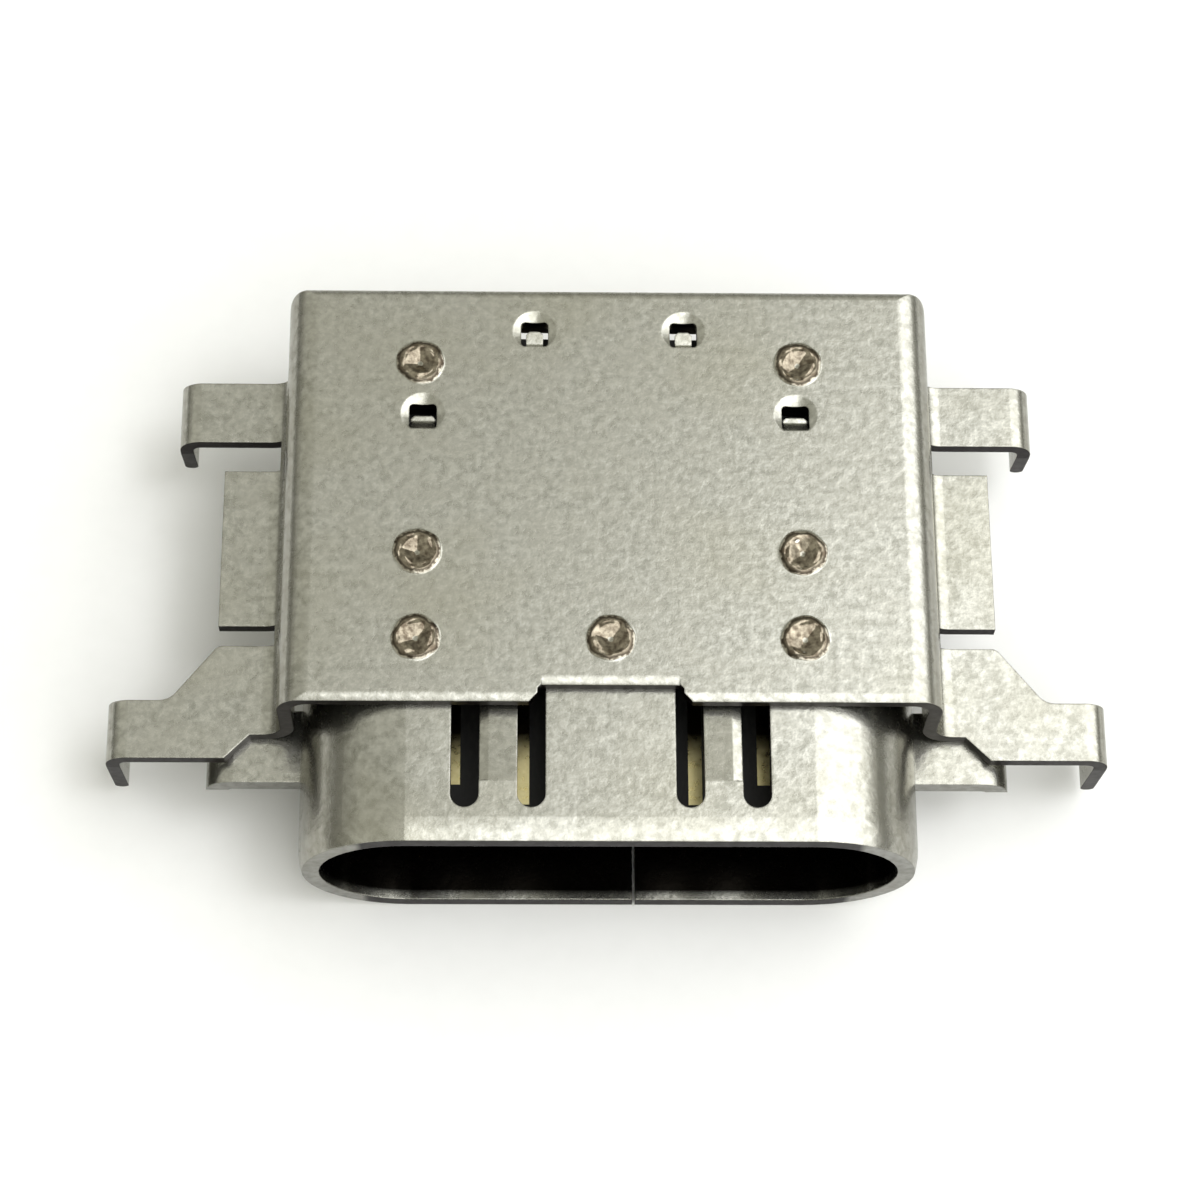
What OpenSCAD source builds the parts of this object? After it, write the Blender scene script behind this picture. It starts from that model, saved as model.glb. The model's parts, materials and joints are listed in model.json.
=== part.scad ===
// USB-C socket for a board cut-out: a 24-contact receptacle whose oval mouth sinks into the
// board's edge and whose folded cover lies on the board with six soldering tabs.
// X runs across the socket, Y from the mouth to the back, Z up from the underside.

/* [Mouth and inner shell] */
// Width of the plug opening
opening_w = 8.34; // [8.2:0.01:8.5]
// Height of the plug opening
opening_h = 2.56; // [2.5:0.01:2.7]
// Sheet thickness of the inner shell
shell_t = 0.30; // [0.22:0.01:0.32]
// Length of the closed oval tube
tube_len = 6.70; // [6.5:0.05:6.9]
// How far the inner shell's roof reaches behind the tube, over the contact tails
roof_len = 1.45; // [1.35:0.05:1.7]
// Length over which the mouth's outer face falls away to the rim
lip_len = 0.34; // [0.2:0.01:0.4]
// How far it falls away there
lip_drop = 0.055; // [0.03:0.005:0.1]
// Gap of the seam where the rolled tube closes
seam_gap = 0.04; // [0.03:0.01:0.06]
// Place of the seam to the right of the middle
seam_x = 0.40; // [0:0.05:1]
// Width of the seam's dovetail at its neck
dovetail_w = 0.90; // [0.6:0.05:1.1]
// Depth of the seam's dovetail
dovetail_d = 0.45; // [0.3:0.05:0.6]

/* [Spring fingers] */
// Width of each slot beside a finger
slot_w = 0.40; // [0.3:0.01:0.45]
// Middle of the inner slots from the centre line
inner_slot_x = 1.12; // [1.05:0.01:1.2]
// Middle of the outer slots from the centre line
outer_slot_x = 2.06; // [1.95:0.01:2.15]
// Distance from the mouth to the front end of the slots
slot_front = 0.48; // [0.35:0.01:0.6]
// Length of the slots
slot_len = 3.10; // [2.8:0.05:3.3]
// Slope of the fingers down into the opening
finger_slope = 4.6; // [2:0.1:5.5]
// Width of the slope along each finger's outer edge
finger_bevel = 0.13; // [0.08:0.01:0.2]
// How far the slope falls away
finger_bevel_drop = 0.045; // [0.02:0.005:0.08]
// Gap behind the free end of each finger
finger_end_gap = 0.22; // [0.15:0.01:0.3]

/* [Side flanges] */
// Distance from the mouth to the front edge of the side flanges
flange_front = 1.34; // [1.2:0.01:1.45]
// Width of the side flanges along the socket
flange_w = 1.10; // [0.8:0.05:1.3]
// Reach of the side flanges beyond the inner shell's sides
flange_reach = 1.40; // [1.3:0.01:1.55]
// How far the side flanges' ends hang below the board's top face
flange_drop = 0.48; // [0.46:0.01:0.6]
// Inside radius of the flange's bend
flange_bend_r = 0.12; // [0.05:0.01:0.13]
// Slant that takes off the flanges' lower corners
flange_corner = 0.14; // [0.05:0.01:0.2]

/* [Cover] */
// Sheet thickness of the cover
cover_t = 0.20; // [0.18:0.01:0.25]
// Distance from the mouth to the cover's front edge
cover_front = 2.00; // [1.95:0.01:2.1]
// Length of the cover
cover_len = 6.50; // [6.4:0.05:6.8]
// Outside radius of the cover's long bends
cover_bend_r = 0.46; // [0.36:0.01:0.5]
// Gap between the cover's side walls and the inner shell
side_gap = 0.08; // [0.04:0.01:0.12]
// Rounding of the roof's back corners
cover_corner_r = 0.18; // [0.08:0.01:0.25]
// Length over which the roof falls away to its cut edges
roll_len = 0.13; // [0.06:0.01:0.18]
// How far it falls away there
roll_drop = 0.045; // [0.02:0.005:0.07]
// Width of the recess in the cover's front edge
recess_w = 2.08; // [2:0.01:2.2]
// Depth of the recess
recess_d = 0.25; // [0.15:0.01:0.3]
// Slant of the recess's corners
recess_slant = 0.12; // [0.08:0.01:0.16]

/* [Board seat] */
// Height of the board's top face above the socket's underside
board_z = 1.68; // [1.62:0.01:1.74]
// Thickness of the board
board_t = 0.80; // [0.6:0.1:0.8]
// Inside radius of the bend between side wall and tabs
tab_root_r = 0.30; // [0.2:0.01:0.35]
// Inside radius of the bend between tab and leg
leg_bend_r = 0.12; // [0.08:0.01:0.16]
// Width of the bent lip left between the tabs
lip_w = 0.15; // [0.1:0.01:0.2]

/* [Front tabs] */
// Reach of the front tabs' legs beyond the cover's side walls
front_reach = 2.56; // [2.4:0.01:2.7]
// Distance from the mouth to the front edge of the front tabs
front_tab_y = 1.64; // [1.55:0.01:1.7]
// Width of the arm that carries the front leg
front_arm_w = 0.89; // [0.75:0.01:0.95]
// Distance from the mouth to the back edge of the front tabs
front_tab_back = 3.38; // [3.3:0.01:3.45]
// Reach of the wide part of the front tabs beyond the cover's side walls
front_tab_reach = 1.05; // [0.9:0.01:1.15]
// Rounding between the back edge of the front tabs and their slant
front_corner_r = 0.15; // [0.08:0.01:0.2]
// Hollow rounding between the slant and the arm
front_hollow_r = 0.30; // [0.15:0.01:0.4]
// Distance from the wide part of the front tabs to where the hollow meets the arm
front_hollow_run = 0.75; // [0.65:0.01:0.9]
// Length of the front legs below the board's top face
front_leg_drop = 1.38; // [1:0.01:1.5]

/* [Middle tabs] */
// Distance from the mouth to the front edge of the middle tabs
middle_tab_y = 3.69; // [3.65:0.01:3.8]
// Width of the middle tabs
middle_tab_w = 2.50; // [2.2:0.05:2.6]
// Reach of the middle tabs beyond the cover's side walls
middle_reach = 0.98; // [0.75:0.01:1.15]

/* [Rear tabs] */
// Distance from the mouth to the front edge of the rear tabs
rear_tab_y = 6.67; // [6.6:0.01:6.75]
// Width of the rear tabs
rear_tab_w = 0.98; // [0.85:0.01:1.05]
// Reach of the rear tabs' legs beyond the cover's side walls
rear_reach = 1.70; // [1.55:0.01:1.85]
// Length of the rear legs below the board's top face
rear_leg_drop = 0.96; // [0.7:0.01:1.1]

/* [Welds and locking tongues] */
// Diameter of the ring round a spot weld
weld_d = 0.72; // [0.6:0.01:0.8]
// Depth of a spot weld's crater
weld_depth = 0.07; // [0.04:0.01:0.1]
// Height of a spot weld's ring
weld_rise = 0.025; // [0.01:0.005:0.04]
// Middle of the outer welds from the centre line
weld_x = 2.78; // [2.7:0.01:2.8]
// Distance from the mouth to the front row of welds
weld_front_y = 2.95; // [2.85:0.01:3.05]
// Distance from the mouth to the middle pair of welds
weld_middle_y = 4.28; // [4.1:0.01:4.4]
// Distance from the mouth to the rear pair of welds
weld_rear_y = 7.30; // [7.2:0.01:7.4]
// Width of the windows that the locking tongues are pressed down in
window_w = 0.40; // [0.34:0.01:0.44]
// Length of the windows
window_l = 0.42; // [0.38:0.01:0.46]
// Rounding of the windows' corners
window_r = 0.07; // [0.03:0.01:0.1]
// Radius of the dimple that the punch draws down round a window
dimple_r = 0.32; // [0.3:0.01:0.35]
// How far the dimple's middle lies behind the window's
dimple_back = 0.05; // [0.02:0.01:0.08]
// Slope of the dimple, in degrees
dimple_slope = 24; // [15:1:30]
// Width of the tongues in the outer windows
outer_lance_w = 0.36; // [0.28:0.01:0.38]
// Length of the slope of the tongues in the outer windows
outer_slope_l = 0.24; // [0.18:0.01:0.28]
// Length of the level end of the tongues in the outer windows
outer_level_l = 0.08; // [0.05:0.01:0.12]
// Width of the tongues in the inner windows
inner_lance_w = 0.25; // [0.18:0.01:0.3]
// Length of the slope of the tongues in the inner windows
inner_slope_l = 0.09; // [0.06:0.01:0.12]
// Length of the level end of the tongues in the inner windows
inner_level_l = 0.20; // [0.14:0.01:0.24]
// Middle of the outer windows from the centre line
outer_window_x = 2.73; // [2.65:0.01:2.8]
// Distance from the mouth to the front edge of the outer windows
outer_window_y = 6.22; // [6.15:0.01:6.3]
// Middle of the inner windows from the centre line
inner_window_x = 1.10; // [1:0.01:1.2]
// Distance from the cover's back edge to the front edge of the inner windows
inner_window_y = 0.93; // [0.85:0.01:1]

/* [Contact tongue] */
// Width of the contact tongue
tongue_w = 6.69; // [6.6:0.01:6.75]
// Thickness of the contact tongue
tongue_t = 0.70; // [0.66:0.01:0.74]
// Distance from the mouth to the tongue's front end
tongue_front = 0.75; // [0.7:0.01:0.8]
// Length of the moulded nose in front of the contacts
nose_len = 0.18; // [0.15:0.01:0.2]
// Resin beside the outer contacts, in the core that the moulded rims close round
core_side = 0.135; // [0.1:0.005:0.16]
// Distance from the mouth to the thick root of the tongue
root_front = 5.15; // [5:0.05:5.3]
// Thickness over the ground plates on the root
root_t = 1.30; // [1.2:0.01:1.4]
// How far inside the tube's back end the block begins that closes it
block_front = 0.45; // [0.4:0.01:0.55]
// How far the block reaches behind the tube
block_back = 1.25; // [1.2:0.01:1.3]
// Clearance round the block in the inner shell
block_gap = 0.02; // [0.01:0.005:0.04]
// Thickness of the stiffening plate in the tongue
plate_t = 0.15; // [0.12:0.01:0.16]
// Thickness of the ground plates
ground_t = 0.10; // [0.08:0.01:0.12]
// Length of the latch notch in each side of the tongue
notch_l = 1.00; // [0.8:0.05:1.2]
// Depth of the latch notch
notch_d = 0.25; // [0.2:0.01:0.28]
// Distance from the mouth to the latch notch
notch_front = 1.95; // [1.8:0.05:2.1]

/* [Contacts] */
// Number of contacts in each row
contact_n = 12; // [12:12]
// Distance between neighbouring contacts
pitch = 0.50; // [0.48:0.01:0.51]
// Width of a contact
contact_w = 0.20; // [0.16:0.01:0.24]
// Thickness of a contact
contact_t = 0.12; // [0.1:0.01:0.14]
// How much further back the signal contacts start than the supply contacts
signal_setback = 0.30; // [0.1:0.05:0.5]
// Length of a soldering foot behind the block
foot_len = 0.34; // [0.25:0.01:0.38]
// Distance from the tube's back end to the front row of through pins
pin_y = 0.38; // [0.3:0.01:0.45]
// Distance between the two rows of through pins
pin_stagger = 0.50; // [0.4:0.01:0.6]
// Length of the through pins below the board
pin_tip = 0.15; // [0.1:0.01:0.2]

/* [Hidden] */
$fn = 48;
contact_rows = ["contact_a", "contact_b"];
plain_nodes = ["inner_shell", "outer_shell", "mid_plate", "ground_plate_upper",
    "ground_plate_lower", "tongue_moulding", "upper_wafer", "lower_wafer"];

steel = "silver";
gold = "goldenrod";
resin = "#222222";
eps = 0.01;
over = 1;
reach_past = 20;

// The inner shell and what it holds
shell_w = opening_w + 2 * shell_t;
shell_h = opening_h + 2 * shell_t;
shell_side = shell_w / 2;
mid_z = shell_h / 2;
inner_r = opening_h / 2;
round_x = (shell_w - shell_h) / 2;
roof_y = tube_len + roof_len;
roof_edge_rise = 0.12;
roof_edge_z = board_z + roof_edge_rise;
flange_x = shell_side + flange_reach;
flange_window_in = 0.25;

// The cover, its tabs and its windows
cover_w = shell_w + 2 * (side_gap + cover_t);
cover_top = shell_h + cover_t;
cover_back = cover_front + cover_len;
wall_x = cover_w / 2;
tab_top = board_z + cover_t;
lip_x = wall_x + lip_w;
front_leg_x = wall_x + front_reach;
front_tab_x = wall_x + front_tab_reach;
front_notch = 0.31;
arm_back = front_tab_y + front_arm_w;
middle_tab_x = wall_x + middle_reach;
rear_leg_x = wall_x + rear_reach;
total_len = cover_back;
inner_window_front = cover_back - inner_window_y;
window_play = 0.05;
outer_lance_angle = 38;
inner_lance_angle = 48;
lance_tip_angle = 8;
lance_corner = 0.05;
lance_room = 0.15;

// The spring fingers between their slots
finger_x0 = inner_slot_x + slot_w / 2;
finger_x1 = outer_slot_x - slot_w / 2;
finger_w = finger_x1 - finger_x0;
finger_len = slot_len - finger_end_gap;

// The tongue, the block and the metal in them
row_w = (contact_n - 1) * pitch + contact_w;
core_w = row_w + 2 * core_side;
rim_w = (tongue_w - core_w) / 2;
core_front = tongue_front + nose_len;
nose_bevel = 0.12;
plate_side = core_w / 2 + rim_w * 11 / 12;
plate_arm_w = 0.30;
plate_arm_gap = 0.165;
plate_arm_x = row_w / 2 + plate_arm_gap;
root_side = 0.15;
root_w = tongue_w + 2 * root_side;
ground_gap = 0.02;
upper_contact_z = mid_z + tongue_t / 2 - contact_t;
lower_contact_z = mid_z - tongue_t / 2;
block_w = opening_w - 2 * block_gap;
block_h = opening_h - 2 * block_gap;
block_y0 = tube_len - block_front;
block_y1 = tube_len + block_back;
seat_gap = 0.02;
seat_z = board_z + seat_gap;
split_h = 0.42;
split_z = board_z + split_h;
split_inset = 0.10;
split_y0 = block_y0 - split_inset;
split_y1 = split_y0 + split_z - mid_z;
riser_gap = 0.10;
bend_r = 0.10;
upper_level = split_z + 0.16;
lower_level = seat_z + 0.10;
arm_level = seat_z + 0.20;
pin_row = tube_len + pin_y;

// Everything is drawn from the mouth plane at Y = 0 and then centred on the origin.
module centred() { translate([0, -total_len / 2, 0]) children(); }

// Left and right copies of what is drawn on the right.
module both_sides() { children(); mirror([1, 0, 0]) children(); }

// A profile in Y and Z, carried along X from x0 over the width w.
module across(x0, w) { translate([x0, 0, 0]) rotate([90, 0, 90]) linear_extrude(w) children(); }

// A profile in X and Z, carried along Y from y0 over the length l.
module along(y0, l) { translate([0, y0 + l, 0]) rotate([90, 0, 0]) linear_extrude(l) children(); }

// An outline in X and Y, carried up through every height.
module plan() { translate([0, 0, -over]) linear_extrude(cover_top + 2 * over) children(); }

// Part of a ring between two radii, from the direction a0 over the turn a, up to 90 degrees.
module ring_part(r, t, a0, a) {
    big = 4 * (r + t);
    intersection() {
        difference() { circle(r + t); if (r > 0) circle(r); }
        polygon([[0, 0], big * [cos(a0), sin(a0)], big * [cos(a0 + a / 2), sin(a0 + a / 2)],
            big * [cos(a0 + a), sin(a0 + a)]]);
    }
}

// Side view of a bent sheet of thickness t. Each step is [straight length, turn, inside radius]:
// a positive turn goes to the left, a negative one to the right.
module ribbon(steps, t, i = 0) {
    if (i < len(steps)) {
        run = steps[i][0];
        turn = steps[i][1];
        r = steps[i][2];
        if (run > 0) square([run, t]);
        if (turn > 0) translate([run, t + r]) {
            ring_part(r, t, -90, turn);
            rotate(turn) translate([0, -t - r]) ribbon(steps, t, i + 1);
        }
        if (turn < 0) translate([run, -r]) {
            ring_part(r, t, 90 + turn, -turn);
            rotate(turn) translate([0, r]) ribbon(steps, t, i + 1);
        }
    }
}

// What a rolled edge takes off a sheet whose corner is at the origin and whose face is the line
// Y = 0 to the left of it: the face leaves that line along an arc and falls by the drop.
module rolled_off(length, drop) {
    arc_r = (length * length + drop * drop) / (2 * drop);
    difference() {
        translate([-length, -drop]) square([length + eps, drop + eps]);
        translate([-length, -arc_r]) circle(arc_r, $fn = 240);
    }
}

// Oval with round ends, centred on the middle height of the mouth.
module oval(w, h) {
    translate([0, mid_z]) {
        square([w - h, h], center = true);
        for (s = [-1, 1]) translate([s * (w - h) / 2, 0]) circle(h / 2);
    }
}

// ---- Inner shell -------------------------------------------------------------------------

// Section of the tube's wall: distance from the axis across, distance from the mouth up.
module wall_section(l) {
    translate([inner_r, 0]) difference() {
        square([shell_t, l]);
        translate([shell_t, 0]) rotate(-90) rolled_off(lip_len, lip_drop);
    }
}

// The rolled oval tube, whose outer face falls away to the rim.
module tube(l) {
    translate([0, 0, mid_z]) {
        both_sides() translate([round_x, 0, 0]) rotate([-90, 0, 0]) rotate([0, 0, -90])
            rotate_extrude(angle = 180) wall_section(l);
        for (side = [0, 1]) mirror([0, 0, side])
            across(-round_x, 2 * round_x) mirror([1, -1]) wall_section(l);
    }
}

// One slot with a round front end, open towards the free end of the finger.
module slot_outline(x) {
    translate([x, slot_front + slot_w / 2]) circle(slot_w / 2);
    translate([x - slot_w / 2, slot_front + slot_w / 2]) square([slot_w, slot_len - slot_w / 2]);
}

// The E-shaped opening round one spring finger.
module finger_opening() {
    slot_outline(inner_slot_x);
    slot_outline(outer_slot_x);
    translate([finger_x0 - eps, slot_front + slot_w]) square([finger_w + 2 * eps, slot_len - slot_w]);
}

// A spring finger: a strip that slopes into the opening, its outer edge falling away.
module finger() {
    start = slot_front + slot_w;
    drop = finger_bevel_drop;
    translate([finger_x0, start, shell_h]) rotate([-finger_slope, 0, 0]) translate([0, finger_len - slot_w, 0])
        rotate([90, 0, 0]) linear_extrude(finger_len - slot_w + eps)
            polygon([[0, -shell_t], [finger_w, -shell_t], [finger_w, -drop], [finger_w - finger_bevel, 0], [0, 0]]);
}

// Outline of the seam: a straight slit with one dovetail.
module seam_outline() {
    y0 = tube_len / 2;
    flare = dovetail_d * 0.35;
    module tail(grow) {
        polygon([[0, y0 - dovetail_w / 2 - grow], [dovetail_d + grow, y0 - dovetail_w / 2 - flare - grow],
            [dovetail_d + grow, y0 + dovetail_w / 2 + flare + grow], [0, y0 + dovetail_w / 2 + grow]]);
    }
    translate([seam_x, 0]) {
        difference() {
            translate([-seam_gap / 2, -over]) square([seam_gap, tube_len + 2 * over]);
            translate([-seam_gap, y0 - dovetail_w / 2]) square([2 * seam_gap, dovetail_w]);
        }
        translate([-seam_gap / 2, 0]) difference() {
            tail(seam_gap);
            translate([-eps, 0]) tail(0);
        }
    }
}

// The windows that the flanges leave in the lower side walls.
module flange_window() {
    along(flange_front, flange_w) translate([round_x + flange_window_in, -over])
        square([reach_past, board_z - shell_t + over]);
}

// A side flange lanced out of the wall, its end bent down.
module flange() {
    root_x = shell_side - shell_t * 0.8;
    run = flange_x - shell_t - flange_bend_r - root_x;
    leg = flange_drop - shell_t - flange_bend_r;
    back = flange_front + flange_w;
    tip_z = board_z - flange_drop;
    intersection() {
        along(flange_front, flange_w) translate([root_x, board_z - shell_t])
            ribbon([[run, -90, flange_bend_r], [leg, 0, 0]], shell_t);
        across(0, reach_past) polygon([[flange_front, board_z + eps], [flange_front, tip_z + flange_corner],
            [flange_front + flange_corner, tip_z - eps], [back - flange_corner, tip_z - eps],
            [back, tip_z + flange_corner], [back, board_z + eps]]);
    }
}

module inner_shell() {
    color(steel) centred() {
        difference() {
            tube(roof_y);
            translate([-reach_past / 2, tube_len, -over]) cube([reach_past, roof_len + over, roof_edge_z + over]);
            translate([0, 0, mid_z]) linear_extrude(mid_z + over) both_sides() finger_opening();
            translate([0, 0, -over]) linear_extrude(over + 2 * shell_t) seam_outline();
            both_sides() flange_window();
            translate([0, 0, mid_z]) linear_extrude(mid_z + over) windows() translate([-window_play, -lance_room])
                square([window_w + 2 * window_play, lance_room + window_l + window_play]);
        }
        both_sides() {
            finger();
            flange();
        }
    }
}

// ---- Cover -------------------------------------------------------------------------------

// Places of the four windows; the child starts at a window's front left corner.
module windows() {
    both_sides() {
        translate([outer_window_x - window_w / 2, outer_window_y]) children();
        translate([inner_window_x - window_w / 2, inner_window_front]) children();
    }
}

// Outline of a window, with round corners.
module window_outline() {
    r = window_r;
    translate([r, 0]) square([window_w - 2 * r, window_l]);
    translate([0, r]) square([window_w, window_l - 2 * r]);
    for (x = [r, window_w - r], y = [r, window_l - r]) translate([x, y]) circle(r);
}

// What the punch draws down round a window: a shallow cone behind the hinge of its tongue.
module window_dimple() {
    intersection() {
        translate([window_w / 2, window_l / 2 + dimple_back, cover_top - dimple_r * tan(dimple_slope)])
            cylinder(h = 2 * dimple_r * tan(dimple_slope), r1 = 0, r2 = 2 * dimple_r);
        plan() translate([-dimple_r, 0]) square([window_w + 2 * dimple_r, window_l + 2 * dimple_r]);
    }
}

// A locking tongue pressed down in its window: hinged at the front, it slopes down by the angle and
// then turns up a little. Its free corners are cut off.
module lance(x, y, w, angle, slope_l, level_l) {
    t = cover_t;
    root = t / 2;
    dip = slope_l * [cos(angle), -sin(angle)];
    tip = dip + [level_l, level_l * tan(lance_tip_angle)];
    hollow = t * tan(angle / 2);
    c = lance_corner;
    translate([x, y]) intersection() {
        across(-w / 2, w) translate([0, shell_h]) polygon([[-root, 0], [-root, t], [0, t],
            dip + [0, t], tip + [0, t], tip, dip - [hollow, 0], [-hollow, 0]]);
        plan() polygon([[-w / 2, -root], [w / 2, -root], [w / 2, tip[0] - c], [w / 2 - c, tip[0]],
            [-w / 2 + c, tip[0]], [-w / 2, tip[0] - c]]);
    }
}

// Half of the cover's side view: roof, long bend, side wall, and the bend out to the tabs.
module cover_section(reach) {
    roof = wall_x - cover_bend_r;
    wall = cover_top - cover_bend_r - tab_top - tab_root_r;
    run = reach - wall_x - tab_root_r;
    translate([0, shell_h]) ribbon([[roof, -90, cover_bend_r - cover_t], [wall, 90, tab_root_r], [run, 0, 0]], cover_t);
}

// Half of the cover's side view behind the tabs, where the side wall ends above the board.
module plain_section() {
    roof = wall_x - cover_bend_r;
    translate([0, shell_h]) ribbon([[roof, -90, cover_bend_r - cover_t],
        [cover_top - cover_bend_r - roof_edge_z, 0, 0]], cover_t);
}

// Plan of everything on the right half of the cover up to the bent lip and the tabs.
module cover_plan() {
    rear_tab_back = rear_tab_y + rear_tab_w;
    translate([0, cover_front]) square([lip_x, rear_tab_back - cover_front]);
    translate([0, rear_tab_y]) square([reach_past, rear_tab_w]);
    translate([0, middle_tab_y]) square([middle_tab_x, middle_tab_w]);
    front_tab_plan();
}

// Plan of a front tab: a wide root and a narrow arm. The slant between them is the line that
// touches the corner's rounding and the hollow's.
module front_tab_plan() {
    corner = [front_tab_x - front_corner_r, front_tab_back - front_corner_r];
    hollow = [front_tab_x + front_hollow_run, arm_back + front_hollow_r];
    step = hollow - corner;
    facing = atan2(step[1], step[0]) + acos((front_corner_r + front_hollow_r) / norm(step));
    out = [cos(facing), sin(facing)];
    notch_x = lip_x + front_notch;
    notch_d = cover_front - front_tab_y;
    difference() {
        union() {
            polygon([[wall_x, cover_front], [notch_x, cover_front], [notch_x + notch_d, front_tab_y],
                [reach_past, front_tab_y], [reach_past, arm_back], [hollow[0], arm_back],
                hollow - front_hollow_r * out, corner + front_corner_r * out,
                [corner[0], front_tab_back], [wall_x, front_tab_back]]);
            translate(corner) circle(front_corner_r);
        }
        translate(hollow) circle(front_hollow_r);
    }
}

// A leg: the end of a tab bent down into the board, with a round, tapered tip.
module leg(y0, w, reach, drop) {
    taper = 0.10;
    z_bend = board_z - leg_bend_r;
    leg_len = drop - leg_bend_r - cover_t / 2;
    start = reach - cover_t - leg_bend_r;
    intersection() {
        along(y0, w) {
            translate([start - eps, board_z]) ribbon([[eps, -90, leg_bend_r], [leg_len, 0, 0]], cover_t);
            translate([reach - cover_t / 2, board_z - drop + cover_t / 2]) circle(cover_t / 2);
        }
        across(0, reach_past) polygon([[y0, tab_top + 1], [y0, z_bend - 0.1], [y0 + taper, board_z - drop - eps],
            [y0 + w - taper, board_z - drop - eps], [y0 + w, z_bend - 0.1], [y0 + w, tab_top + 1]]);
    }
}

// Where the seven spot welds sit.
module weld_places() {
    both_sides() for (y = [weld_front_y, weld_middle_y, weld_rear_y]) translate([weld_x, y, cover_top]) children();
    translate([0, weld_front_y, cover_top]) children();
}

module weld_ring() {
    rotate_extrude() polygon([[weld_d * 0.3, -cover_t / 2], [weld_d * 0.3, weld_rise * 0.6],
        [weld_d * 0.4, weld_rise], [weld_d / 2, 0], [weld_d / 2, -cover_t / 2]]);
}

module weld_crater() {
    crater_r = weld_d * 0.34;
    ball_r = (crater_r * crater_r + weld_depth * weld_depth) / (2 * weld_depth);
    translate([0, 0, ball_r - weld_depth + weld_rise * 0.6]) sphere(ball_r);
}

module recess_outline() {
    w = recess_w / 2;
    polygon([[-w - recess_slant, cover_front - over], [-w - recess_slant, cover_front], [-w, cover_front + recess_slant],
        [-w, cover_front + recess_d - recess_slant / 2], [-w + recess_slant / 2, cover_front + recess_d],
        [w - recess_slant / 2, cover_front + recess_d], [w, cover_front + recess_d - recess_slant / 2],
        [w, cover_front + recess_slant], [w + recess_slant, cover_front], [w + recess_slant, cover_front - over]]);
}

// Rounds the roof's back corners where the sheet was cut.
module back_corner() {
    r = cover_corner_r;
    translate([wall_x - r, cover_back - r]) difference() {
        square([r + over, r + over]);
        circle(r);
    }
}

// The roof's front, recess and back edges, drawn down by the punch.
module rolled_edges() {
    in_recess = recess_w / 2 - recess_slant / 2;
    translate([0, 0, cover_top]) {
        across(-wall_x, 2 * wall_x) {
            translate([cover_front, 0]) mirror([1, 0]) rolled_off(roll_len, roll_drop);
            translate([cover_back, 0]) rolled_off(roll_len, roll_drop);
        }
        across(-in_recess, 2 * in_recess)
            translate([cover_front + recess_d, 0]) mirror([1, 0]) rolled_off(roll_len, roll_drop);
    }
}

module cover_half() {
    rear_tab_back = rear_tab_y + rear_tab_w;
    intersection() {
        along(front_tab_y - eps, rear_tab_back - front_tab_y + eps) cover_section(front_leg_x - cover_t - leg_bend_r);
        plan() difference() {
            cover_plan();
            translate([rear_leg_x - cover_t - leg_bend_r, rear_tab_y - eps])
                square([reach_past, rear_tab_w + 2 * eps]);
        }
    }
    along(rear_tab_back - eps, cover_back - rear_tab_back + eps) plain_section();
    leg(front_tab_y, front_arm_w, front_leg_x, front_leg_drop);
    leg(rear_tab_y, rear_tab_w, rear_leg_x, rear_leg_drop);
}

module outer_shell() {
    color(steel) centred() {
        difference() {
            union() {
                both_sides() cover_half();
                weld_places() weld_ring();
            }
            plan() recess_outline();
            plan() windows() window_outline();
            windows() window_dimple();
            rolled_edges();
            plan() both_sides() back_corner();
            weld_places() weld_crater();
        }
        both_sides() {
            lance(outer_window_x, outer_window_y, outer_lance_w, outer_lance_angle, outer_slope_l, outer_level_l);
            lance(inner_window_x, inner_window_front, inner_lance_w, inner_lance_angle, inner_slope_l,
                inner_level_l);
        }
    }
}

// ---- Contacts ----------------------------------------------------------------------------

function contact_x(i) = (i - (contact_n + 1) / 2) * pitch;
// The first, fourth, ninth and twelfth contacts carry the supply and start nearer the mouth.
function is_supply(i) = i == 1 || i == 4 || i == contact_n - 3 || i == contact_n;
function contact_start(i) = core_front + (is_supply(i) ? 0 : signal_setback);
function pin_place(i) = pin_row + (i % 2) * pin_stagger;

// Upper contact: along the tongue, up into the block, back over it and down to a foot.
module upper_contact_section(y0) {
    t = contact_t;
    rise = upper_level - upper_contact_z - 2 * bend_r - t;
    back = block_y1 + seat_gap - block_y0 - 3 * bend_r - t;
    drop = upper_level - board_z - 2 * bend_r - t;
    translate([y0, upper_contact_z]) ribbon([[block_y0 - y0, 90, bend_r], [rise, -90, bend_r],
        [back, -90, bend_r], [drop, 90, bend_r], [foot_len - bend_r, 0, 0]], t);
}

// A strip that runs along the tongue at height z0, rises in the block to the given level and
// goes down through the board as a pin.
module pinned_section(y0, z0, level, pin_middle, t) {
    rise = level - z0 - 2 * bend_r - t;
    back = pin_middle - t / 2 - block_y0 - riser_gap - 3 * bend_r - t;
    pin = level - bend_r - board_z + board_t + pin_tip;
    translate([y0, z0]) ribbon([[block_y0 + riser_gap - y0, 90, bend_r], [rise, -90, bend_r],
        [back, -90, bend_r], [pin, 0, 0]], t);
}

module lower_contact_section(i) {
    pinned_section(contact_start(i), lower_contact_z, lower_level, pin_place(i), contact_t);
}

module contact_a(i) {
    color(gold) centred() across(contact_x(i) - contact_w / 2, contact_w) upper_contact_section(contact_start(i));
}

module contact_b(i) {
    color(gold) centred() across(contact_x(i) - contact_w / 2, contact_w) lower_contact_section(i);
}

// ---- Tongue and block --------------------------------------------------------------------

// Plan of one side's latch notch in the tongue.
module latch_notch() {
    depth = min(notch_d, rim_w * 0.8);
    translate([tongue_w / 2 - depth, notch_front]) square([depth + over, notch_l]);
}

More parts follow.
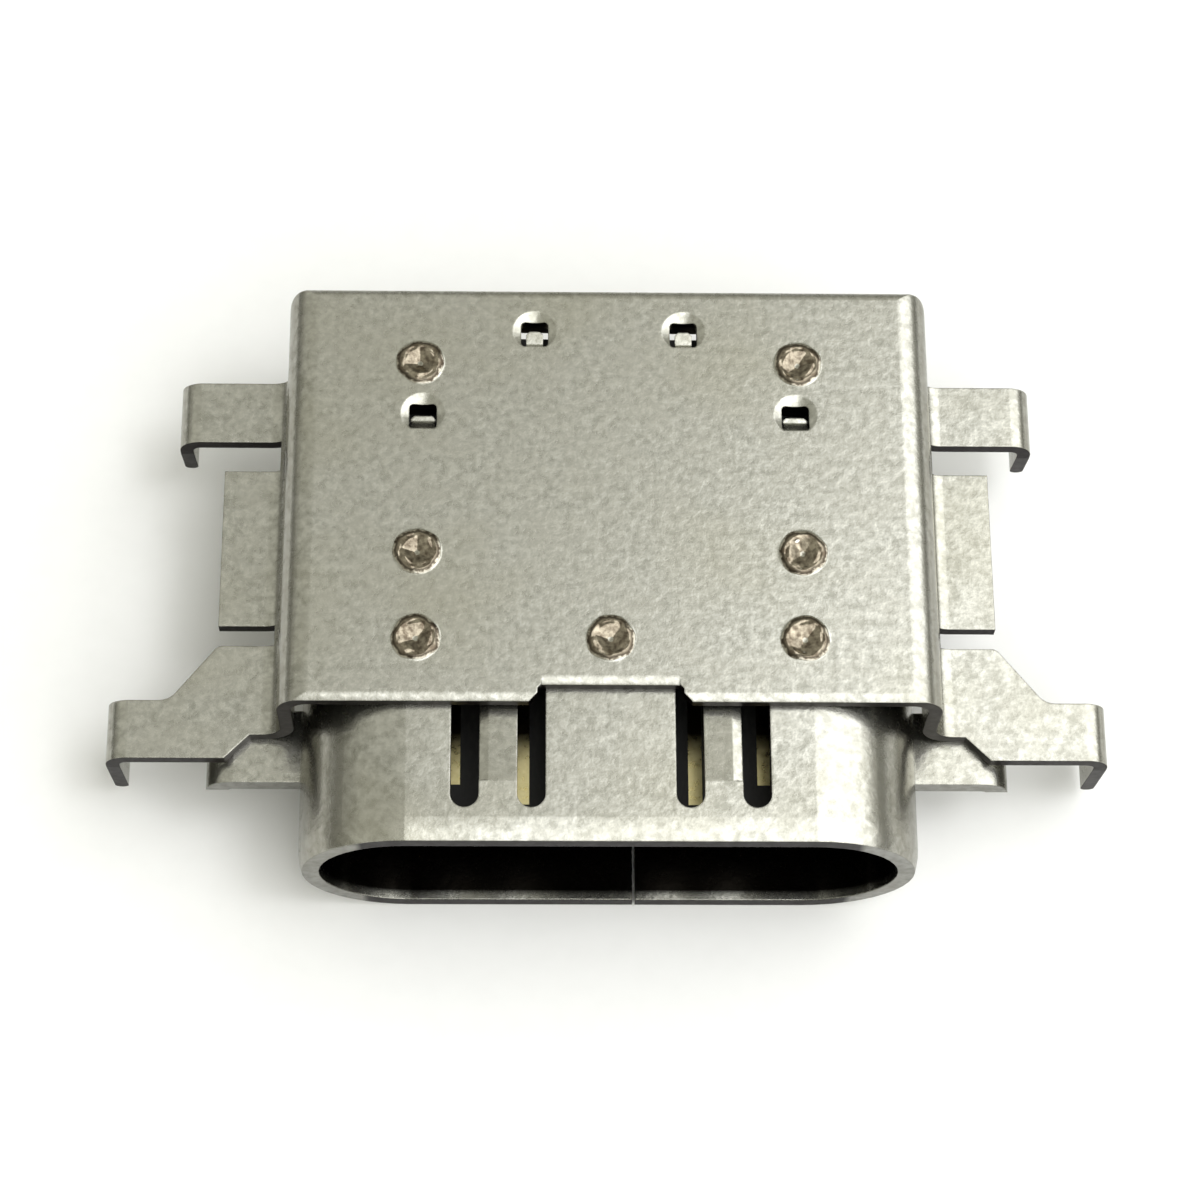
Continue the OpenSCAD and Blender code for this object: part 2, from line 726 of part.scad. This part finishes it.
// The stiffening plate with an arm on each side that goes over the board's edge and through it.
module plate_body() {
    z0 = mid_z - plate_t / 2;
    plate_back = block_y0 + riser_gap;
    shoulder_x = plate_arm_x + plate_arm_w;
    translate([0, 0, z0]) linear_extrude(plate_t) {
        difference() {
            translate([-plate_side, core_front]) square([2 * plate_side, plate_back - core_front]);
            both_sides() latch_notch();
        }
        translate([-shoulder_x, block_y0]) square([2 * shoulder_x, plate_back - block_y0]);
    }
    both_sides() across(plate_arm_x, plate_arm_w)
        pinned_section(plate_back - eps, z0, arm_level, pin_row, plate_t);
}

module mid_plate() { color(steel) centred() plate_body(); }

// Ground plate: a thin cap on one face of the tongue's root, its ends bent over the sides.
module ground_plate_body() {
    leg = root_t / 2 - ground_t - plate_t / 2 - ground_gap;
    both_sides() along(root_front, block_y0 - root_front)
        translate([0, mid_z + root_t / 2 - ground_t])
            ribbon([[root_w / 2 - ground_t, -90, 0], [leg, 0, 0]], ground_t);
}

module ground_plate_upper() { color(steel) centred() ground_plate_body(); }

module ground_plate_lower() {
    color(steel) centred() translate([0, 0, 2 * mid_z]) mirror([0, 0, 1]) ground_plate_body();
}

// Core of the tongue, which the two wafers make up and the moulding closes round.
module core_box(grow) {
    translate([-core_w / 2, core_front, mid_z - tongue_t / 2 - grow])
        cube([core_w, block_y0 - core_front, tongue_t + 2 * grow]);
}

// Moulding round the core: the nose, the side rims and the thick root.
module tongue_moulding() {
    bevel = nose_bevel;
    resin_h = root_t - 2 * ground_t;
    resin_w = root_w - 2 * ground_t;
    color(resin) centred() difference() {
        union() {
            across(-tongue_w / 2, tongue_w) polygon([
                [tongue_front, mid_z - tongue_t / 2 + bevel], [tongue_front, mid_z + tongue_t / 2 - bevel],
                [tongue_front + bevel, mid_z + tongue_t / 2], [block_y0, mid_z + tongue_t / 2],
                [block_y0, mid_z - tongue_t / 2], [tongue_front + bevel, mid_z - tongue_t / 2]]);
            translate([-resin_w / 2, root_front, mid_z - resin_h / 2])
                cube([resin_w, block_y0 - root_front, resin_h]);
        }
        core_box(0);
        plate_body();
        translate([0, 0, mid_z - tongue_t]) linear_extrude(2 * tongue_t) both_sides() latch_notch();
    }
}

// Side view of the block's part above the line that parts the two wafers.
module upper_part() {
    polygon([[core_front, mid_z], [split_y0, mid_z], [split_y1, split_z], [block_y1, split_z],
        [block_y1, shell_h], [core_front, shell_h]]);
}

// Side view of the part below that line and above the board.
module lower_part() {
    polygon([[core_front, 0], [tube_len, 0], [tube_len, seat_z], [block_y1, seat_z],
        [block_y1, split_z], [split_y1, split_z], [split_y0, mid_z], [core_front, mid_z]]);
}

// Core and block together, before they are parted and the metal is let in.
module wafer_blank() {
    core_box(0);
    along(block_y0, block_y1 - block_y0) oval(block_w, block_h);
}

module upper_wafer() {
    color(resin) centred() difference() {
        intersection() {
            wafer_blank();
            across(-reach_past / 2, reach_past) upper_part();
        }
        plate_body();
        for (i = [1 : contact_n]) across(contact_x(i) - contact_w / 2, contact_w)
            upper_contact_section(contact_start(i));
    }
}

module lower_wafer() {
    color(resin) centred() difference() {
        intersection() {
            wafer_blank();
            across(-reach_past / 2, reach_past) lower_part();
        }
        plate_body();
        for (i = [1 : contact_n]) across(contact_x(i) - contact_w / 2, contact_w)
            lower_contact_section(i);
    }
}

inner_shell();
outer_shell();
mid_plate();
ground_plate_upper();
ground_plate_lower();
tongue_moulding();
upper_wafer();
lower_wafer();
for (i = [1 : contact_n]) contact_a(i);
for (i = [1 : contact_n]) contact_b(i);
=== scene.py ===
import json
import math

import bpy
import numpy as np
from mathutils import Matrix, Vector


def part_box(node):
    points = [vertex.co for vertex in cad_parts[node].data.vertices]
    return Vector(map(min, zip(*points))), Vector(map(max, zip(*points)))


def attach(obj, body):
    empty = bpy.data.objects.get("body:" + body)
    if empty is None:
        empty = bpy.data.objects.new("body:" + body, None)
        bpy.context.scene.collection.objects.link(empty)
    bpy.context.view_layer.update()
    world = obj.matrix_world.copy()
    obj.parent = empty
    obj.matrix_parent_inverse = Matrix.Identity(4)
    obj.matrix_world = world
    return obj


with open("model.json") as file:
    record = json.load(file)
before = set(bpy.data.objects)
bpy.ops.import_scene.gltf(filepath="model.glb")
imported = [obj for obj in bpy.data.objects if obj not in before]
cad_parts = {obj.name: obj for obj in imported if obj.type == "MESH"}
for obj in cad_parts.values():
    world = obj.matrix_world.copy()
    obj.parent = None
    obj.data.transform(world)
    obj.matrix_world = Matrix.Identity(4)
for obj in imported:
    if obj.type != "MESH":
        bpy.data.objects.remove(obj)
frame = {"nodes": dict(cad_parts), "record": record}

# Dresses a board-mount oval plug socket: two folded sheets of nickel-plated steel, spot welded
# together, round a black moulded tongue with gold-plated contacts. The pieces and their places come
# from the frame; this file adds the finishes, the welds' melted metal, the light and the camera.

MM = 0.001
NODES = frame["nodes"]
BODY = "root"
MOUTH_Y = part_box("inner_shell")[0].y
# The plug opening in millimetres: a flat oval whose round ends are centred OVAL_CORE off the middle
OPENING_R, OVAL_CORE, OVAL_Z = 1.28, 2.89, 1.58
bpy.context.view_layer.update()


# ---- Small helpers ------------------------------------------------------------------------------

def linear(hex_colour):
    """The linear RGBA of an sRGB hex colour."""
    parts = [int(hex_colour[i:i + 2], 16) / 255 for i in (1, 3, 5)]
    return [c / 12.92 if c <= 0.04045 else ((c + 0.055) / 1.055) ** 2.4 for c in parts] + [1.0]


def add(tree, kind, sockets=None, **settings):
    """Adds one shader node. settings are its own properties; sockets maps an input to a value or to
    another node's output, which is linked to it."""
    made = tree.nodes.new("ShaderNode" + kind)
    for name, value in settings.items():
        setattr(made, name, value)
    for socket, value in (sockets or {}).items():
        if isinstance(value, bpy.types.NodeSocket):
            tree.links.new(value, made.inputs[socket])
        else:
            made.inputs[socket].default_value = value
    return made


def maths(tree, operation, first, second=0.0):
    """One sum of two values or outputs."""
    return add(tree, "Math", {0: first, 1: second}, operation=operation).outputs[0]


def times(tree, *factors):
    """The product of several masks."""
    product = factors[0]
    for factor in factors[1:]:
        product = maths(tree, "MULTIPLY", product, factor)
    return product


def split(tree, vector):
    """The X, Y and Z outputs of a vector."""
    return add(tree, "SeparateXYZ", {"Vector": vector}).outputs[:]


def facing(tree):
    """How far a face looks along X, Y and Z, whichever way, from 0 to 1."""
    normal = add(tree, "NewGeometry").outputs["True Normal"]
    return [maths(tree, "ABSOLUTE", part) for part in split(tree, normal)]


def material(name):
    """A new material with a Principled shader: the material, its tree, the shader and the object
    coordinates."""
    made = bpy.data.materials.new(name)
    made.use_nodes = True
    tree = made.node_tree
    shader = tree.nodes["Principled BSDF"]
    coordinates = add(tree, "TexCoord").outputs["Object"]
    return made, tree, shader, coordinates


def noise(tree, coordinates, grain_mm, detail=3.0, roughness=0.55):
    """Cloudy noise whose blotches are grain_mm across."""
    sockets = {"Vector": coordinates, "Scale": 1 / (grain_mm * MM), "Detail": detail,
               "Roughness": roughness}
    return add(tree, "TexNoise", sockets).outputs["Fac"]


def spread(tree, value, low, high, to_low, to_high):
    """value between low and high, spread over to_low to to_high and held at the ends."""
    sockets = {"Value": value, "From Min": low, "From Max": high,
               "To Min": to_low, "To Max": to_high}
    return add(tree, "MapRange", sockets).outputs["Result"]


def between(tree, value, low, high, soft):
    """1 where value lies between low and high, 0 outside, with edges soft wide."""
    rise = spread(tree, value, low - soft, low + soft, 0, 1)
    fall = spread(tree, value, high - soft, high + soft, 1, 0)
    return times(tree, rise, fall)


def blend(tree, share, first, second):
    """The colour between first and second by share; each is a hex colour or an output."""
    made = add(tree, "Mix", {"Factor": share}, data_type="RGBA")
    for socket, colour in ((made.inputs[6], first), (made.inputs[7], second)):
        if isinstance(colour, str):
            socket.default_value = linear(colour)
        else:
            tree.links.new(colour, socket)
    return made.outputs[2]


def bump(tree, shader, height, depth_mm, edge_mm=0.0):
    """Feeds height, from 0 to 1, to the shader as a relief depth_mm deep, on edges rounded by
    edge_mm."""
    made = add(tree, "Bump", {"Height": height, "Distance": depth_mm * MM})
    if edge_mm:
        edges = add(tree, "Bevel", {"Radius": edge_mm * MM}, samples=4)
        tree.links.new(edges.outputs["Normal"], made.inputs["Normal"])
    tree.links.new(made.outputs["Normal"], shader.inputs["Normal"])


# ---- Finishes -----------------------------------------------------------------------------------

# Where the cut faces lie, in millimetres. The cover's roof is level this far off the middle
ROOF_HALF = 4.2
# Further off the middle than this, the inner shell's cut ends, such as the flanges', show fainter
TUBE_HALF = 3.5
# Above this height and within this width, the tube's upright faces are its slots and windows
TUBE_TOP, SLOTS_HALF = 2.85, 3.0


def upright(tree, level):
    """Mask of faces that stand steeper than about 55 degrees; level is how far they look up or
    down."""
    return spread(tree, level, 0.50, 0.60, 1, 0)


def cut_across(tree, lengthways):
    """Mask of faces that look forward or back; lengthways is how far they do."""
    return spread(tree, lengthways, 0.40, 0.50, 0, 1)


def aside(tree, place):
    """The distance off the middle plane, to either side."""
    return maths(tree, "ABSOLUTE", split(tree, place)[0])


def sheared_on_cover(tree, place):
    """Mask of the cover's cut faces, painted near black as torn steel and painted shade: upright
    faces that look forward or back, and the sides of the windows in its roof."""
    lengthways, level = facing(tree)[1:]
    in_roof = spread(tree, aside(tree, place), ROOF_HALF * MM, (ROOF_HALF + 0.05) * MM, 1, 0)
    cut = maths(tree, "MAXIMUM", cut_across(tree, lengthways), in_roof)
    return times(tree, upright(tree, level), cut)


def sheared_on_tube(tree, place):
    """Mask of the inner shell's cut faces, painted near black as torn steel and painted shade:
    upright faces that look forward or back, fainter on the flanges, and the walls of the slots
    and windows in its top."""
    lengthways, level = facing(tree)[1:]
    off = aside(tree, place)
    strength = spread(tree, off, TUBE_HALF * MM, (TUBE_HALF + 0.1) * MM, 1, 0.55)
    height = split(tree, place)[2]
    high = spread(tree, height, TUBE_TOP * MM, (TUBE_TOP + 0.02) * MM, 0, 1)
    central = spread(tree, off, SLOTS_HALF * MM, (SLOTS_HALF + 0.05) * MM, 1, 0)
    cut = maths(tree, "MAXIMUM", times(tree, cut_across(tree, lengthways), strength),
                times(tree, high, central))
    return times(tree, upright(tree, level), cut)


def painted_shade_in_tube(tree, place):
    """Mask of the painted shade inside the tube, from just behind the rim: the distance from the
    oval's core line is less than the opening's radius."""
    past_core = maths(tree, "SUBTRACT", aside(tree, place), OVAL_CORE * MM)
    beyond = maths(tree, "MAXIMUM", past_core, 0.0)
    depth, height = split(tree, place)[1:]
    off = maths(tree, "SUBTRACT", height, OVAL_Z * MM)
    squares = maths(tree, "ADD", maths(tree, "MULTIPLY", beyond, beyond),
                    maths(tree, "MULTIPLY", off, off))
    reach = maths(tree, "SQRT", squares)
    inside = spread(tree, reach, (OPENING_R + 0.01) * MM, (OPENING_R + 0.03) * MM, 1, 0)
    behind_rim = spread(tree, depth, MOUTH_Y + 0.05 * MM, MOUTH_Y + 0.15 * MM, 0, 1)
    return times(tree, inside, behind_rim)


def nickel_plated_steel(name, sheared, painted_tube_shade=None):
    """Stamped stainless steel, barrel plated with nickel: a warm grey metal, satin and faintly
    mottled, because the plating is a little thicker and smoother in some grains than in others.
    Faces that look sideways, the long bends and side walls among them, are darkened as painted
    shade. The cut faces are painted near black, partly the torn steel's own colour and partly
    painted shade, and the inside of the closed tube is painted near black as painted shade."""
    made, tree, shader, place = material(name)
    grain = noise(tree, place, 0.14, detail=4.0, roughness=0.6)
    cloud = noise(tree, place, 0.5, detail=3.0)
    stain = noise(tree, place, 2.6, detail=2.0)
    mottled = blend(tree, spread(tree, grain, 0.36, 0.64, 0, 1), "#A7A79F", "#D2D2CC")
    clouded = blend(tree, spread(tree, cloud, 0.35, 0.65, 0, 0.45), mottled, "#BFBEB6")
    colour = blend(tree, spread(tree, stain, 0.45, 0.70, 0, 0.25), clouded, "#ABA892")
    # Painted shade: faces that look along X, sideways, are darkened towards #6F6B60.
    painted_side_shade = spread(tree, facing(tree)[0], 0.45, 0.80, 0, 0.6)
    colour = blend(tree, painted_side_shade, colour, "#6F6B60")
    rough = spread(tree, grain, 0.3, 0.7, 0.29, 0.22)
    # Painted shade: inside the closed tube, behind the rim, the colour is painted near black.
    if painted_tube_shade:
        inside = painted_tube_shade(tree, place)
        colour = blend(tree, inside, colour, "#1B1916")
    # Cut faces painted near black: partly the torn steel's own darker colour, partly painted shade
    # in the gaps, slots and windows.
    torn_and_shaded = sheared(tree, place)
    colour = blend(tree, torn_and_shaded, colour, blend(tree, cloud, "#0E0707", "#1D1516"))
    rough = maths(tree, "ADD", rough, spread(tree, torn_and_shaded, 0, 1, 0, 0.2))
    tree.links.new(colour, shader.inputs["Base Color"])
    tree.links.new(rough, shader.inputs["Roughness"])
    shader.inputs["Metallic"].default_value = 1.0
    bump(tree, shader, grain, 0.0038, edge_mm=0.03)
    return made


def bare_steel():
    """Rolled spring steel of the inner plates: smooth, cool grey, with fine rolling lines."""
    made, tree, shader, place = material("bare_spring_steel")
    along = add(tree, "Mapping", {"Vector": place, "Scale": (1.0, 0.08, 1.0)}).outputs["Vector"]
    lines = noise(tree, along, 0.05, detail=2.0)
    colour = blend(tree, spread(tree, lines, 0.3, 0.7, 0, 1), "#A3A4A3", "#C4C5C4")
    tree.links.new(colour, shader.inputs["Base Color"])
    tree.links.new(spread(tree, lines, 0.3, 0.7, 0.22, 0.34), shader.inputs["Roughness"])
    shader.inputs["Metallic"].default_value = 1.0
    return made


def gold_plated_bronze():
    """Phosphor bronze strip with a thin hard gold flash: pale olive gold, satin from the rolled
    strip, with painted shade, dark brown, where it lies deep in the tube."""
    made, tree, shader, place = material("gold_plated_bronze")
    depth = split(tree, place)[1]
    cloud = noise(tree, place, 0.12, detail=3.0)
    bright = blend(tree, spread(tree, cloud, 0.3, 0.7, 0, 1), "#D3C68C", "#EADFAE")
    # Painted shade: from 1.9 to 6.4 mm behind the mouth the contacts are painted dark brown.
    painted_shade_deep = between(tree, depth, MOUTH_Y + 1.9 * MM, MOUTH_Y + 6.4 * MM, 0.12 * MM)
    tree.links.new(blend(tree, painted_shade_deep, bright, "#2B2416"), shader.inputs["Base Color"])
    tree.links.new(spread(tree, cloud, 0.3, 0.7, 0.24, 0.36), shader.inputs["Roughness"])
    shader.inputs["Metallic"].default_value = 1.0
    return made


def black_moulded_polymer():
    """Glass-filled liquid-crystal polymer, injection moulded: near black, dull, with a fine fleck
    where the fibres lie at the skin."""
    made, tree, shader, place = material("black_liquid_crystal_polymer")
    flow = add(tree, "Mapping", {"Vector": place, "Scale": (1.0, 0.35, 1.0)}).outputs["Vector"]
    fleck = noise(tree, flow, 0.06, detail=3.0)
    colour = blend(tree, spread(tree, fleck, 0.45, 0.75, 0, 1), "#141414", "#2A2927")
    tree.links.new(colour, shader.inputs["Base Color"])
    tree.links.new(spread(tree, fleck, 0.3, 0.7, 0.48, 0.62), shader.inputs["Roughness"])
    bump(tree, shader, fleck, 0.0012)
    return made


def weld_metal():
    """Steel melted by the welding tip and left as it froze: smooth and glossy, burnt olive brown
    with paler patches, with a dark scorched line round it."""
    made, tree, shader, place = material("melted_weld_steel")
    reach = add(tree, "Attribute", attribute_name="crater").outputs["Fac"]
    smudge = noise(tree, place, 0.09, detail=3.0)
    edge = maths(tree, "ADD", reach, spread(tree, smudge, 0.3, 0.7, -0.06, 0.06))
    burnt = blend(tree, spread(tree, smudge, 0.35, 0.65, 0, 1), "#675D50", "#ADA493")
    rimmed = blend(tree, between(tree, edge, 0.82, 0.90, 0.05), burnt, "#2E2820")
    colour = blend(tree, spread(tree, edge, 0.90, 0.99, 0, 1), rimmed, "#B9B7AD")
    tree.links.new(colour, shader.inputs["Base Color"])
    tree.links.new(spread(tree, smudge, 0.3, 0.7, 0.12, 0.22), shader.inputs["Roughness"])
    shader.inputs["Metallic"].default_value = 1.0
    return made


def pale_card():
    """Matt white card under the socket, with the faintest tooth."""
    made, tree, shader, place = material("white_card")
    tooth = noise(tree, place, 0.4, detail=2.0)
    tree.links.new(blend(tree, tooth, "#F5F6F7", "#FAFBFC"), shader.inputs["Base Color"])
    shader.inputs["Roughness"].default_value = 0.9
    return made


FINISHES = {"plain_steel": bare_steel(), "black_resin": black_moulded_polymer(),
            "contact_gold": gold_plated_bronze()}
SHELL_FINISHES = {
    "inner_shell": nickel_plated_steel("nickel_plated_tube", sheared_on_tube, painted_shade_in_tube),
    "outer_shell": nickel_plated_steel("nickel_plated_cover", sheared_on_cover),
}


def dress_frame():
    """Every CAD node gets the finish of its material slot, and the two shells their own."""
    for part in frame["record"]["subparts"]:
        mesh = NODES[part["node"]].data
        mesh.materials.clear()
        mesh.materials.append(SHELL_FINISHES.get(part["node"]) or FINISHES[part["material_slot"]])


# ---- Spot welds ---------------------------------------------------------------------------------

# All in millimetres, as on the cover: the ring stands WELD_RING proud of the roof, falls to it over
# RING_FALL outside its crest, and holds a round-bottomed crater
WELD_RING, RING_FALL = 0.025, 0.072
CRATER_DEPTH, CRATER_CURVE = 0.055, 0.93
RIM_R, RING_R, CRATER_R = 0.36, 0.262, 0.222
# The melt itself: how wide its ring swells, how softly it meets the facets, how deep they reach,
# and the least skin of melt over the sheet
SWELL, SOFT, FACET_DEPTH, SKIN = 0.052, 0.010, 0.058, 0.003
FACETS = 7
COVER_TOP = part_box("outer_shell")[1].z / MM - WELD_RING
# Each weld's place: off the middle, and behind the mouth
WELD_PLACES = [(x, y) for y in (2.95, 4.28, 7.30) for x in (-2.78, 2.78)] + [(0.0, 2.95)]


def wrapped_quads(rows, columns):
    """Quads between neighbouring rows of a grid whose columns close on themselves."""
    row, column = np.meshgrid(np.arange(rows - 1), np.arange(columns), indexing="ij")
    following = (column + 1) % columns
    quads = np.stack([row * columns + column, (row + 1) * columns + column,
                      (row + 1) * columns + following, row * columns + following], axis=-1)
    return quads.reshape(-1, 4)


def weld_bead(name, place, finish, seed):
    """The melted metal of one weld, on a polar grid of radius r and angle a. The rim is a circle
    whose radius wavers with two sines of a. The height is the crater's bowl, which is the highest
    of seven steep planes so that it freezes into facets, joined to a ring: a bell curve of r, with
    lumps along a. Inside its rim it nowhere sinks into the sheet's own ring and crater. The
    underside is flat and lies inside the sheet."""
    chance = np.random.RandomState(seed)
    rows, columns = 34, 84
    angles = np.linspace(0, 2 * math.pi, columns, endpoint=False)
    share, turn = np.meshgrid(np.linspace(0.02, 1.0, rows), angles, indexing="ij")
    p, q = chance.uniform(0, 2 * math.pi, 2)
    waver = 1 + 0.030 * np.sin(3 * turn + p) + 0.018 * np.sin(7 * turn + q)
    radius = share * RIM_R * waver
    x, y = radius * np.cos(turn), radius * np.sin(turn)
    lean = (np.arange(FACETS) + chance.uniform(-0.3, 0.3, FACETS)) * 2 * math.pi / FACETS + p
    steep = chance.uniform(0.30, 0.62, FACETS)
    planes = [s * (x * math.cos(l) + y * math.sin(l)) - 0.012 for s, l in zip(steep, lean)]
    bowl = np.max(planes, axis=0) - FACET_DEPTH
    lumps = 0.22 * np.sin(4 * turn + q) + 0.12 * np.sin(9 * turn + p)
    ring = WELD_RING * (1.12 + lumps) * np.exp(-((radius - RING_R) / SWELL) ** 2)
    inside = 1 / (1 + np.exp((radius - CRATER_R) / SOFT))
    sheet = np.where(radius < RING_R, radius ** 2 / CRATER_CURVE - CRATER_DEPTH,
                     WELD_RING * (RIM_R - radius) / RING_FALL)
    top = np.maximum(inside * bowl + (1 - inside) * ring, np.minimum(sheet, WELD_RING) + SKIN)
    top[-1] = -0.01
    points = np.stack([x + place[0], y + place[1], top + COVER_TOP], axis=-1).reshape(-1, 3)
    under = points[-columns:] - [0, 0, 0.04]
    centres = [[place[0], place[1], COVER_TOP + float(top[0].mean())],
               [place[0], place[1], COVER_TOP - 0.05]]
    points = np.concatenate([points, under, centres])
    upper, lower = len(points) - 2, len(points) - 1
    following = (np.arange(columns) + 1) % columns
    side = rows * columns
    faces = [tuple(f) for f in wrapped_quads(rows + 1, columns)]
    faces += [(upper, int(c), int(n)) for c, n in enumerate(following)]
    faces += [(lower, int(n) + side, int(c) + side) for c, n in enumerate(following)]
    mesh = bpy.data.meshes.new(name)
    mesh.from_pydata((points * MM).tolist(), [], faces)
    mesh.materials.append(finish)
    mesh.shade_smooth()
    reach = np.append(np.append(share.reshape(-1), np.ones(columns)), [0.0, 1.0])
    crater = mesh.attributes.new("crater", "FLOAT", "POINT")
    crater.data.foreach_set("value", reach.astype(np.float32))
    made = bpy.data.objects.new(name, mesh)
    bpy.context.collection.objects.link(made)
    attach(made, BODY)


def spot_welds():
    """Seven beads, numbered from the front left."""
    finish = weld_metal()
    for number, (x, y) in enumerate(sorted(WELD_PLACES, key=lambda p: (p[1], p[0])), 1):
        weld_bead(f"spot_weld_{number}", (x, y + MOUTH_Y / MM), finish, seed=number)


# ---- Light, floor and camera --------------------------------------------------------------------

LAMP_HEIGHT = 300 * MM


def softbox(name, across, ahead, radius, radiance):
    """A level round lamp, LAMP_HEIGHT up. Its middle and radius are given as slopes: how far off
    to the right and to the back for each millimetre of height. Its power gives that radiance."""
    light = bpy.data.lights.new(name, "AREA")
    light.shape = "DISK"
    light.size = 2 * radius * LAMP_HEIGHT
    light.energy = radiance * math.pi * math.pi * (light.size / 2) ** 2
    made = bpy.data.objects.new(name, light)
    made.location = (across * LAMP_HEIGHT, ahead * LAMP_HEIGHT, LAMP_HEIGHT)
    bpy.context.collection.objects.link(made)


def studio():
    """A pale warm dome, dim at the horizon, a wide softbox high up at the right and in front, and a
    small bright one inside it."""
    world = bpy.data.worlds.new("soft_dome")
    bpy.context.scene.world = world
    world.use_nodes = True
    tree = world.node_tree
    height = split(tree, add(tree, "TexCoord").outputs["Generated"])[2]
    tint = blend(tree, spread(tree, height, 0.05, 0.60, 0, 1), "#75746B", "#C7C6B9")
    tree.links.new(tint, tree.nodes["Background"].inputs["Color"])
    softbox("wide_softbox", 1.3, -0.35, 1.4, 1.65)
    softbox("small_softbox", 0.55, -0.05, 0.2, 6.0)


def floor():
    """The card that the socket lies on."""
    half = 400 * MM
    corners = [(-half, -half, 0), (half, -half, 0), (half, half, 0), (-half, half, 0)]
    mesh = bpy.data.meshes.new("floor")
    mesh.from_pydata(corners, [], [(0, 1, 2, 3)])
    mesh.materials.append(pale_card())
    made = bpy.data.objects.new("floor", mesh)
    bpy.context.collection.objects.link(made)


def camera():
    """Looks down on the roof from in front, 68 degrees above the horizon, turned a little to the
    right."""
    elevation, yaw, roll = math.radians(67.804), math.radians(3.364), math.radians(3.381)
    forward = Vector((math.sin(yaw) * math.cos(elevation), math.cos(yaw) * math.cos(elevation),
                      -math.sin(elevation)))
    level = Vector((math.cos(yaw), -math.sin(yaw), 0))
    upright = level.cross(forward)
    side = level * math.cos(roll) + upright * math.sin(roll)
    data = bpy.data.cameras.new("camera")
    data.sensor_width = 36
    data.lens = 97.35
    data.clip_start = 1 * MM
    data.clip_end = 2
    made = bpy.data.objects.new("camera", data)
    place = Vector((-1.179, -13.97, 46.33)) * MM + Vector((0, MOUTH_Y, 0))
    turn = Matrix((side, side.cross(forward), -forward)).transposed()
    made.matrix_world = Matrix.Translation(place) @ turn.to_4x4()
    bpy.context.collection.objects.link(made)
    bpy.context.scene.camera = made


bpy.context.scene.view_settings.view_transform = "Standard"
dress_frame()
spot_welds()
studio()
floor()
camera()
